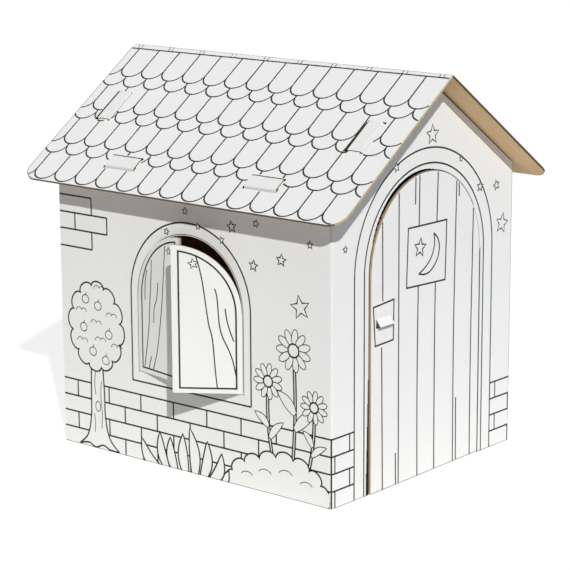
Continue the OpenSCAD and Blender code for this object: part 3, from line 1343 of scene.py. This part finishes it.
@dataclass
class DoorLeaf(Panel):
    """Outer face of the door, printed as planks with a plate."""

    radius: float = 233.5
    spring: float = 558.0
    margin: float = 2.0
    foot: float = 3.0
    pull: Box = (-213.5, -152.5, 426.5, 451.0)
    pull_gap: float = 1.5
    hinge_side: float = 10.0

    def holds(self, u: float, v: float) -> bool:
        """Tells whether there is flat card at a point, clear of the pull tab.

        Args:
            u: The point's place to the right.
            v: The point's place upward.

        Returns:
            True where there is.
        """
        left, right, low, high = self.pull
        gap = self.pull_gap
        in_pull = left - gap < u < right + gap and low - gap < v < high + gap
        return v > self.foot and in_arch(u, v, self.radius - self.margin, self.spring) and not in_pull

    def draw(self) -> None:
        """Draws the plate with its star and moon, the handle's plate and the planks."""
        self.foot_line(-self.radius, self.radius, 3.8)
        self.line(*star((-30.5, 601.5), 48.0, -8.0), closed=True)
        horn = (28.5, 630.0)
        lower_horn = (-35.5, 534.5)
        for bow in (
            [(46.0, 613.0), (53.0, 587.0), (43.0, 558.0), (15.5, 534.5), (-10.0, 529.5)],
            [(31.5, 611.0), (28.5, 589.0), (15.5, 566.0), (-9.0, 546.5)],
        ):
            self.line(*smooth([horn, *bow, lower_horn]))
        self.shape([(-81.5, 658.5), (84.5, 656.0), (79.5, 500.0), (-87.5, 507.0)])
        self.shape([(-225.0, 483.0), (-140.0, 489.0), (-142.0, 385.5), (-217.0, 383.0)])
        planks = [
            [(-189.5, 722.0), (-186.5, 492.0)],
            [(-190.5, 375.0), (-184.5, 0.0)],
            [(-121.5, 772.0), (-117.5, 0.0)],
            [(-34.0, 801.0), (-39.0, 302.0), (-36.0, 0.0)],
            [(45.0, 801.0), (36.0, 421.0), (38.0, 0.0)],
            [(127.5, 770.0), (120.5, 381.0), (122.5, 0.0)],
            [(204.0, 690.0), (199.0, 300.0), (200.0, 0.0)],
            [(-51.0, 801.0), (-52.0, 715.0)],
            [(138.5, 760.0), (138.5, 709.0)],
            [(-130.5, 87.0), (-128.5, 0.0)],
            [(133.5, 175.0), (136.5, 0.0)],
        ]
        for plank in planks:
            self.line(*smooth(plank, 8))


@dataclass
class ShutterLeaf(Panel):
    """Outer face of a shutter, printed as a window with curtains. u and v are the wall's, when it is shut."""

    side: int = 1
    radius: float = 177.5
    sill: float = 244.5
    spring: float = 448.0
    margin: float = 1.5
    meeting_margin: float = 2.0
    border: float = 14.5
    sill_border: float = 13.0
    meeting_border: float = 19.0
    star_at: Triple = (57.0, 578.0, 26.0)

    def curtains(self) -> list[Path]:
        """Folds of the curtain, each from the top down."""
        raise NotImplementedError

    def holds(self, u: float, v: float) -> bool:
        """Tells whether there is flat card at a point."""
        past_edges = u * self.side > self.meeting_margin and v > self.sill + self.margin
        return past_edges and in_arch(u, v, self.radius - self.margin, self.spring)

    def draw(self) -> None:
        """Draws the star, the curtains and the frame round them."""
        u, v, size = self.star_at
        self.shape(star((u, v), size, 10.0), width=2.6)
        for fold in self.curtains():
            self.line(*smooth(fold), width=3.2)
        inner = self.radius - self.border
        quarter = 90.0 * self.side
        head = ellipse((0.0, self.spring), inner, inner, 90.0 - quarter, quarter, 30)
        shown_head = [p for p in head if p[0] * self.side > self.meeting_border]
        edge = self.meeting_border * self.side
        top = self.spring + math.sqrt(inner**2 - self.meeting_border**2)
        low = self.sill + self.sill_border
        self.line((inner * self.side, low), *shown_head, (edge, top), (edge, low), closed=True)


@dataclass
class LeftShutterLeaf(ShutterLeaf):
    """Outer face of the left shutter."""

    side: int = -1
    border: float = 12.0
    star_at: Triple = (-46.0, 585.0, 20.0)

    def curtains(self) -> list[Path]:
        """Folds of the curtain.

        Returns:
            The points of each fold, from the top down.
        """
        return [
            [(-62.0, 596.0), (-66.0, 560.0), (-72.0, 500.0), (-80.0, 430.0), (-100.0, 320.0),
             (-121.0, 257.0)],
            [(-94.0, 495.0), (-97.0, 470.0), (-103.0, 445.0), (-112.0, 425.0), (-115.0, 385.0)],
            [(-121.0, 550.0), (-124.0, 500.0), (-130.0, 440.0), (-138.0, 360.0), (-157.0, 262.0)],
            [(-141.0, 520.0), (-147.0, 500.0), (-150.0, 475.0), (-151.0, 440.0)],
            [(-127.0, 293.0), (-133.0, 278.0), (-139.0, 258.0)],
        ]


@dataclass
class RightShutterLeaf(ShutterLeaf):
    """Outer face of the right shutter."""

    def curtains(self) -> list[Path]:
        """Folds of the curtain.

        Returns:
            The points of each fold, from the top down.
        """
        return [
            [(63.0, 600.0), (78.0, 540.0), (93.0, 430.0), (103.0, 385.0), (109.0, 310.0), (114.0, 258.0)],
            [(110.0, 515.0), (116.0, 490.0), (123.0, 410.0), (145.0, 355.0), (155.0, 325.0), (163.0, 285.0)],
            [(136.0, 464.0), (140.0, 435.0), (148.0, 405.0), (157.0, 380.0)],
        ]


class CardNode:
    """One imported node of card, given a finish on each side and on its cut edges."""

    # Cosine under which a face beside the door's gap counts as a cut edge.
    EDGEWISE = 0.8

    def __init__(self, node: str, liner: Liner, kraft: Kraft, *panels: Panel) -> None:
        """Holds a node and its finishes.

        Args:
            node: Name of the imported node.
            liner: Finish of the outside.
            kraft: Finish of the inside.
            panels: One or two panels whose edges the node has.
        """
        self.node = frame["nodes"][node]
        self.sizes = panels[0].sizes
        self.finishes = {Skin.OUTSIDE: liner, Skin.INSIDE: kraft}
        for skin, panel in zip((Skin.FIRST_EDGE, Skin.SECOND_EDGE), panels):
            self.finishes[skin] = panel.edge()

    def skin(self, centre: Vector, normal: Vector) -> Skin:
        """Tells which side of the card a face belongs to, by its middle in millimetres and its normal."""
        raise NotImplementedError

    def dress(self) -> None:
        """Gives each face of the node its finish."""
        mesh = self.node.data
        mesh.materials.clear()
        for finish in self.finishes.values():
            mesh.materials.append(finish.material())
        places = {skin: place for place, skin in enumerate(self.finishes)}
        for face in mesh.polygons:
            face.material_index = places[self.skin(face.center / MM, face.normal)]
        log.info("%s: %d faces dressed", self.node.name, len(mesh.polygons))


class WallSheet(CardNode):
    """One wall sheet: long wall, gable, roof tabs and, on the back sheet, two glue laps."""

    # Cosines from which a face counts as square to an axis, and as leaning towards it.
    SQUARE = 0.95
    LEANING = 0.3

    def __init__(self, node: str, liner: Liner, kraft: Kraft, *panels: Panel, turned: bool = False) -> None:
        """Holds a wall sheet.

        Args:
            node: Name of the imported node.
            liner: Finish of the outside.
            kraft: Finish of the inside.
            panels: Its long wall and its gable.
            turned: Whether the sheet is the one turned half round.
        """
        super().__init__(node, liner, kraft, *panels)
        # Leaning tab faces get a darker copy of the liner: painted shade that takes down the light they
        # catch.
        shaded_tab = replace(liner, name="shaded_tab_liner", shade=(0.67,) * 3, light=(0.74,) * 3)
        self.finishes[Skin.SHADED_TAB] = shaded_tab
        self.gable = panels[1]
        if isinstance(self.gable, FrontGable):
            # Cut faces at the doorway's head and hinge side get a near-black copy of the edge: painted shade
            # of the door's gap.
            self.finishes[Skin.SHADED_EDGE] = replace(
                self.gable.edge(),
                name=node + "_gap_edge",
                paper=(0.16, 0.12, 0.08),
                hollow=(0.05, 0.035, 0.02),
            )
        self.turn = Matrix.Rotation(math.pi if turned else 0.0, 3, "Z")

    def skin(self, centre: Vector, normal: Vector) -> Skin:
        """Tells which side of the card a face belongs to.

        Args:
            centre: Middle of the face, in millimetres.
            normal: Direction that it faces.

        Returns:
            Its side or edge.
        """
        s = self.sizes
        p = self.turn @ centre
        n = self.turn @ normal
        # Painted shade on the cut faces round the door's head and hinge side.
        if Skin.SHADED_EDGE in self.finishes and self.gable.borders_door(p.x, p.z) and abs(n.y) < self.EDGEWISE:
            return Skin.SHADED_EDGE
        lift = math.copysign(n.x, n.x * p.x) * math.sin(s.pitch) + n.z * math.cos(s.pitch)
        leaning = abs(n.y) > self.LEANING and abs(lift) > self.LEANING
        if leaning or s.above_roof(p) > s.card_t:
            if lift > 0.02:
                # Tab faces leaning towards a gable take the liner darkened as painted shade.
                return Skin.SHADED_TAB if abs(n.y) > self.LEANING else Skin.OUTSIDE
            if lift < -self.LEANING:
                return Skin.INSIDE
        upright = abs(n.z) < 0.1
        out_of_wall = upright and n.x < -0.05 and p.x < -s.half_w + s.card_t
        out_of_gable = upright and n.y < -0.05 and p.y < -s.half_l + s.card_t
        if out_of_wall or out_of_gable:
            return Skin.OUTSIDE
        in_wall = n.x > self.SQUARE and abs(p.x + s.half_w - s.card_t) < 0.5
        in_gable = n.y > self.SQUARE and abs(p.y + s.half_l - s.card_t) < 0.5
        by_right = p.x > s.half_w - 2.5 * s.card_t and p.y > -s.half_l + s.card_t
        by_back = p.y > s.half_l - 2.5 * s.card_t and p.x > -s.half_w + s.card_t
        on_lap = (by_right and abs(n.x) > self.SQUARE) or (by_back and abs(n.y) > self.SQUARE)
        if in_wall or in_gable or on_lap:
            return Skin.INSIDE
        return Skin.FIRST_EDGE if p.x < -s.half_w + 1.5 * s.card_t else Skin.SECOND_EDGE


class RoofSheet(CardNode):
    """The roof, folded along its ridge."""

    # Cosine from which a face is one of the slope's own, and width of the roof's rim.
    FACING = 0.75
    RIM = 20.0

    def __init__(self, node: str, liner: Liner, kraft: Kraft, *panels: Panel) -> None:
        """Holds the roof.

        Args:
            node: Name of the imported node.
            liner: Finish of the outside.
            kraft: Finish of the underside.
            panels: Its left and its right slope.
        """
        super().__init__(node, liner, kraft, *panels)
        # Slot walls turn near-black with depth: partly open flutes, partly painted shade.
        slot = ShadedSlotEdge("slot_edge", self.sizes)
        self.finishes[Skin.SHADED_EDGE] = slot
        # The eave's cut face is a darker brown, darker towards the underside: partly flutes, partly painted
        # shade.
        self.finishes[Skin.EAVE] = replace(
            slot, name="eave_edge", rim=(0.33, 0.27, 0.19), hollow=(0.17, 0.13, 0.09))

    def skin(self, centre: Vector, normal: Vector) -> Skin:
        """Tells which side of the card a face belongs to.

        Args:
            centre: Middle of the face, in millimetres.
            normal: Direction that it faces.

        Returns:
            Its side or edge.
        """
        side = 1.0 if centre.x > 0 else -1.0
        facing = normal.x * side * math.sin(self.sizes.pitch) + normal.z * math.cos(self.sizes.pitch)
        if facing > self.FACING:
            return Skin.OUTSIDE
        if facing < -self.FACING:
            return Skin.INSIDE
        if self.sizes.roof_half_l - abs(centre.y) > self.RIM:
            from_eave = self.sizes.roof_half_w - abs(centre.x)
            return Skin.SHADED_EDGE if from_eave > self.RIM else Skin.EAVE
        return Skin.FIRST_EDGE if side < 0 else Skin.SECOND_EDGE


class Flap(CardNode):
    """The door or a shutter."""

    # Cosine from which a face is one of the flap's own.
    FACING = 0.65

    def __init__(self, node: str, liner: Liner, kraft: Kraft, *panels: Panel) -> None:
        """Holds a flap.

        Args:
            node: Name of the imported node.
            liner: Finish of the outside.
            kraft: Finish of the inside.
            panels: Its printed face.
        """
        super().__init__(node, liner, kraft, *panels)
        self.leaf = panels[0]
        if isinstance(self.leaf, DoorLeaf):
            # The door's cut faces by its hinge get a near-black copy of the edge: painted shade in the
            # crease.
            self.finishes[Skin.SHADED_EDGE] = replace(
                self.leaf.edge(),
                name=self.leaf.name + "_gap_edge",
                paper=(0.20, 0.15, 0.09),
                hollow=(0.02, 0.015, 0.01),
            )
        self.outward = self.leaf.place.to_3x3().col[2].copy()

    def skin(self, centre: Vector, normal: Vector) -> Skin:
        """Tells which side of the card a face belongs to.

        Args:
            centre: Middle of the face, in millimetres.
            normal: Direction that it faces.

        Returns:
            Its side or edge.
        """
        facing = normal.dot(self.outward)
        # Painted shade on the cut faces by the door's hinge.
        if Skin.SHADED_EDGE in self.finishes and abs(facing) < self.EDGEWISE:
            if centre.x > self.leaf.radius - self.leaf.hinge_side:
                return Skin.SHADED_EDGE
        if facing > self.FACING:
            return Skin.OUTSIDE
        if facing < -self.FACING:
            return Skin.INSIDE
        return Skin.FIRST_EDGE


@dataclass
class House:
    """The whole playhouse: its panels, its sheets and its flaps."""

    sizes: HouseSizes
    ink: Ink = Ink("printed_ink")
    # Near-black ink of the painted shade round the doorway.
    dark: Ink = Ink("painted_gap_shade", dense=(0.003, 0.003, 0.002), thin=(0.006, 0.005, 0.004), gloss=0.0)
    wall_liner: Liner = Liner("wall_liner", Vector((1.0, 1.0, 0.0)))
    roof_liner: Liner = Liner(
        "roof_liner", Vector((0.0, 1.0, 0.0)), shade=(0.83, 0.83, 0.82), light=(0.90, 0.90, 0.89))
    # Darker copy of the wall liner for the right shutter: painted shade that takes down the sun on its face.
    shaded_shutter_liner: Liner = replace(
        wall_liner, name="shaded_shutter_liner", shade=(0.72, 0.72, 0.70), light=(0.785, 0.785, 0.765))
    wall_kraft: Kraft = Kraft("wall_kraft", (1.0, 1.0, 0.12))
    roof_kraft: Kraft = Kraft("roof_kraft", (0.15, 1.0, 0.15))

    @staticmethod
    def _place(origin: Triple, right: Triple, up: Triple = (0.0, 0.0, 1.0)) -> Matrix:
        """Place of a panel on the house.

        Args:
            origin: The panel's origin, in millimetres.
            right: Its direction to the right, seen from outside.
            up: Its direction upward.

        Returns:
            The matrix from the panel to the house, in metres.
        """
        columns = (Vector(right), Vector(up), Vector(right).cross(Vector(up)))
        turn = Matrix(columns).transposed().to_4x4()
        return Matrix.Translation(Vector(origin) * MM) @ turn

    @staticmethod
    def _opened(place: Matrix, joint_name: str) -> Matrix:
        """Turns a flap's panel from shut to where it rests.

        Args:
            place: Place of the panel when shut.
            joint_name: Name of the flap's joint.

        Returns:
            Its place at rest.
        """
        joint = next(j for j in frame["joints"] if j["name"] == joint_name)
        at = Matrix.Translation(Vector(joint["pos_m"]))
        turn = Matrix.Rotation(math.radians(-joint["range_deg"][0]), 4, Vector(joint["axis"]))
        return at @ turn @ at.inverted() @ place

    def _slope(self, name: str, side: int, **looks: object) -> RoofSlope:
        """Makes the panel of a roof slope.

        Args:
            name: Name of the panel.
            side: Which slope: 1 for the left one, -1 for the right one.
            looks: Finish of its cut edges, where it isn't the usual one.

        Returns:
            The panel.
        """
        up = (side * math.cos(self.sizes.pitch), 0.0, math.sin(self.sizes.pitch))
        place = self._place((0.0, 0.0, self.sizes.apex_z), (0.0, -float(side), 0.0), up)
        return RoofSlope(name, Body.HOUSE, Slot.ROOF, place, self.sizes, front=side, **looks)

    def build(self) -> None:
        """Makes the print and dresses every node."""
        s = self.sizes
        wall = (Body.HOUSE, Slot.WALL)
        front = self._place((0.0, -s.half_l, 0.0), (1.0, 0.0, 0.0))
        back = self._place((0.0, s.half_l, 0.0), (-1.0, 0.0, 0.0))
        left = self._place((-s.half_w, 0.0, 0.0), (0.0, -1.0, 0.0))
        right = self._place((s.half_w, 0.0, 0.0), (0.0, 1.0, 0.0))
        door_place = self._opened(front, "door_hinge")
        left_place = self._opened(left, "left_shutter_hinge")
        right_place = self._opened(left, "right_shutter_hinge")
        left_slope = self._slope("left_slope", 1)
        # The right slope's cut edges are near black, unlike the left's: painted shade.
        right_slope = self._slope(
            "right_slope", -1, edge_paper=(0.16, 0.11, 0.065), edge_hollow=(0.06, 0.04, 0.02))
        window_wall = WindowWall("window_wall", *wall, left, s)
        front_gable = FrontGable("front_gable", *wall, front, s)
        right_wall = LongWall("right_wall", *wall, right, s)
        back_gable = Gable("back_gable", *wall, back, s)
        door = DoorLeaf("door_leaf", Body.DOOR, Slot.FLAP, door_place, s)
        left_shutter = LeftShutterLeaf("left_shutter_leaf", Body.LEFT_SHUTTER, Slot.FLAP, left_place, s)
        right_shutter = RightShutterLeaf("right_shutter_leaf", Body.RIGHT_SHUTTER, Slot.FLAP, right_place, s)
        walls = (window_wall, front_gable, right_wall, back_gable)
        ink = self.ink.material()
        for panel in (left_slope, right_slope, *walls, door, left_shutter, right_shutter):
            panel.build(ink)
        # Bands of painted shade on the gable where the door's gap would show the dark inside.
        DoorGapShade("door_gap_shade", *wall, front, s).build(self.dark.material())
        white = self.wall_liner
        brown = self.wall_kraft
        nodes = [
            RoofSheet("roof_sheet", self.roof_liner, self.roof_kraft, left_slope, right_slope),
            WallSheet("front_left_wall_sheet", white, brown, window_wall, front_gable),
            WallSheet("back_right_wall_sheet", white, brown, right_wall, back_gable, turned=True),
            Flap("door", white, brown, door),
            Flap("left_shutter", white, brown, left_shutter),
            # The right shutter takes the liner darkened as painted shade.
            Flap("right_shutter", self.shaded_shutter_liner, brown, right_shutter),
        ]
        for node in nodes:
            node.dress()


@dataclass(frozen=True)
class Lamp:
    """Far lamp, with the angle that it covers in the sky, in degrees."""

    name: str
    towards: Triple
    strength: float
    angle: float
    colour: Colour

    def build(self) -> None:
        """Makes the lamp."""
        data = bpy.data.lights.new(self.name, "SUN")
        data.energy = self.strength
        data.angle = math.radians(self.angle)
        data.color = self.colour
        lamp = put(self.name, data)
        lamp.rotation_euler = Vector(self.towards).to_track_quat("Z", "Y").to_euler()


@dataclass
class Studio:
    """Pale floor, sun, two softer lamps and surrounding light."""

    sizes: HouseSizes
    lamps: tuple[Lamp, ...] = (
        Lamp("sun", (-0.86, -1.0, 0.95), 3.2, 1.2, (1.0, 0.99, 0.962)),
        Lamp("fill", (0.75, 0.65, 0.22), 1.1, 15.0, (0.97, 0.985, 1.0)),
        Lamp("cool_fill", (0.35, -0.9, 0.1), 0.14, 40.0, (0.2, 0.5, 1.0)),
    )
    sky: Colour = (0.140, 0.152, 0.178)
    # Floor colours for bounced light: bright near the house, a painted pool of light, and dim far off and
    # inside the walls, painted shade indoors.
    floor_near: Colour = (0.88, 0.87, 0.84)
    floor_far: Colour = (0.33, 0.34, 0.36)
    floor_fade: Point = (0.45, -0.35)
    floor_glow: float = 0.82
    floor_shade: float = 0.25
    floor_half: float = 40.0
    floor_gap: float = 0.5 * MM

    def build(self) -> None:
        """Makes the floor, the lamps and the world."""
        for lamp in self.lamps:
            lamp.build()
        self._world()
        self._floor()

    def _background_rays(self, nodes: NodeSheet) -> Socket:
        """Finds rays that show the background: from the camera, in gloss and through glass.

        Args:
            nodes: Nodes that take the test.

        Returns:
            1 for such a ray, as a socket.
        """
        path = nodes.add("LightPath")
        seen = nodes.math("MAXIMUM", path.outputs["Is Camera Ray"], path.outputs["Is Glossy Ray"])
        return nodes.math("MAXIMUM", seen, path.outputs["Is Transmission Ray"])

    def _world(self) -> None:
        """Makes the surrounding light, white where it is seen."""
        world = bpy.data.worlds.new("studio")
        bpy.context.scene.world = world
        nodes = NodeSheet(world)
        sky = nodes.add("Background", {"Color": (*self.sky, 1.0), "Strength": 1.0}).outputs[0]
        white = nodes.add("Background", {"Color": WHITE, "Strength": 1.0}).outputs[0]
        mix = nodes.add("MixShader", {0: self._background_rays(nodes), 1: sky, 2: white})
        nodes.add("OutputWorld", {"Surface": mix.outputs[0]})

    def _floor_material(self) -> Material:
        """Makes the floor's finish, which looks white outside the walls and keeps the shadow; for bounced
        light it is painted brighter near the house and dark inside the walls, as painted light and shade.

        Returns:
            The new material.
        """
        made = bpy.data.materials.new("pale_floor")
        nodes = NodeSheet(made)
        point = nodes.object_point()
        away = nodes.add("VectorMath", {0: point}, operation="LENGTH").outputs["Value"]
        fading = nodes.math("MULTIPLY_ADD", away, *self.floor_fade)
        parts = nodes.add("SeparateXYZ", {0: point}).outputs
        beyond = nodes.math("MAXIMUM", *[
            nodes.math("SUBTRACT", nodes.math("ABSOLUTE", parts[axis]), half * MM)
            for axis, half in ((0, self.sizes.half_w), (1, self.sizes.half_l))
        ])
        outdoors = nodes.math("GREATER_THAN", beyond, -self.sizes.card_t * MM)
        # Inside the walls the floor takes the dim colour: painted shade, which the camera sees too.
        painted_dimming = nodes.math("MAXIMUM", fading, nodes.math("SUBTRACT", 1.0, outdoors))
        bounce = nodes.add("BsdfDiffuse", {"Color": nodes.blend(painted_dimming, self.floor_near, self.floor_far)})
        shade = nodes.add("BsdfDiffuse", {"Color": (self.floor_shade,) * 3 + (1.0,)})
        glow = nodes.add("Emission", {"Color": WHITE, "Strength": self.floor_glow})
        shown = nodes.add("AddShader", {0: shade.outputs[0], 1: glow.outputs[0]})
        glowing = nodes.math("MULTIPLY", self._background_rays(nodes), outdoors)
        mix = nodes.add("MixShader", {0: glowing, 1: bounce.outputs[0], 2: shown.outputs[0]})
        nodes.add("OutputMaterial", {"Surface": mix.outputs[0]})
        return made

    def _floor(self) -> None:
        """Makes the floor, just under the house."""
        bm = bmesh.new()
        bmesh.ops.create_grid(bm, x_segments=1, y_segments=1, size=self.floor_half)
        bmesh.ops.translate(bm, vec=(0.0, 0.0, -self.floor_gap), verts=bm.verts[:])
        floor = put_mesh("floor", bm, self._floor_material())


@dataclass
class Viewpoint:
    """Camera at the photograph's place."""

    place: Triple = (-4.3416, -3.6681, 1.7376)
    azimuth: float = 49.792
    down: float = 12.87
    roll: float = -0.284
    lens: float = 137.55
    sensor: float = 36.0
    shift: Point = (-0.0002, -0.0044)

    def build(self) -> None:
        """Makes the camera."""
        turn = math.radians(self.azimuth)
        dip = math.radians(self.down)
        tilt = math.radians(self.roll)
        ahead = Vector((math.sin(turn) * math.cos(dip), math.cos(turn) * math.cos(dip), -math.sin(dip)))
        level = Vector((math.cos(turn), -math.sin(turn), 0.0))
        above = level.cross(ahead)
        right = math.cos(tilt) * level + math.sin(tilt) * above
        up = math.cos(tilt) * above - math.sin(tilt) * level
        data = bpy.data.cameras.new("camera")
        data.lens = self.lens
        data.sensor_width = self.sensor
        data.shift_x, data.shift_y = self.shift
        camera = put("camera", data)
        facing = Matrix((right, up, -ahead)).transposed().to_4x4()
        camera.matrix_world = Matrix.Translation(Vector(self.place)) @ facing
        bpy.context.scene.camera = camera


def main() -> None:
    """Builds the camera, the studio and the house."""
    logging.basicConfig(level=logging.INFO, format="%(name)s %(message)s")
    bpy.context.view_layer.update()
    bpy.context.scene.view_settings.view_transform = "Standard"
    sizes = HouseSizes.measured()
    Viewpoint().build()
    Studio(sizes).build()
    House(sizes).build()


if __name__ == "__main__":
    main()
